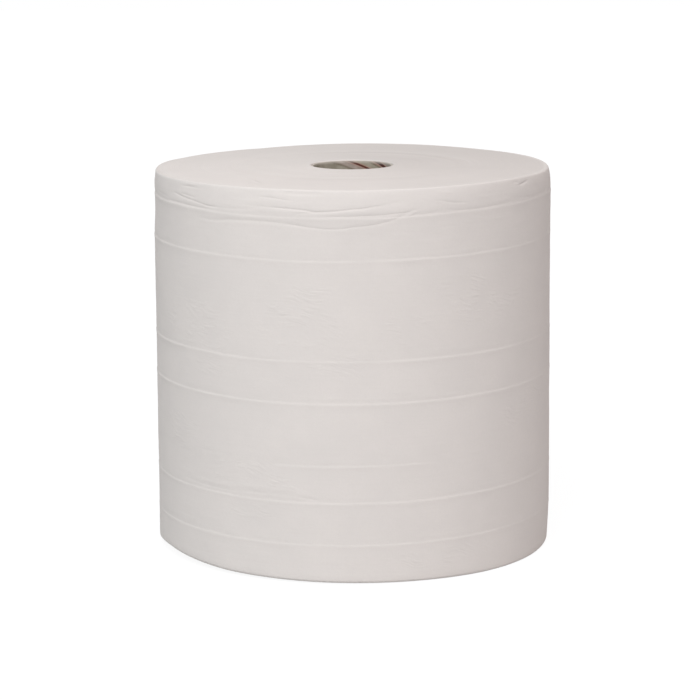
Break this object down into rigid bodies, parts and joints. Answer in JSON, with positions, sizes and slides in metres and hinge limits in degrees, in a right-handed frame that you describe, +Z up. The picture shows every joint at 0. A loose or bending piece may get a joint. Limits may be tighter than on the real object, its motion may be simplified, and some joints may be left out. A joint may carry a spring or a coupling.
{
  "type": "paper towel roll",
  "caption": "Large roll of white paper towel wound on a cardboard core, standing on its end, with soft ridges round the side and gathers under the top edge.",
  "frame": {"origin": "middle of the bottom end face, on the core's axis", "axes": "+Z up along the core's axis; -Y towards the front that the picture shows, with +X to its right"},
  "size_m": [0.3869, 0.3875, 0.371],
  "materials": {
    "paper": "matte, soft crepe tissue, warm white",
    "core_board": "matte, spirally wound grey-brown board with dark red-brown seam stripes inside"
  },
  "bodies": {
    "root": {"paper_roll": "paper", "core": "core_board"}
  },
  "joints": []
}
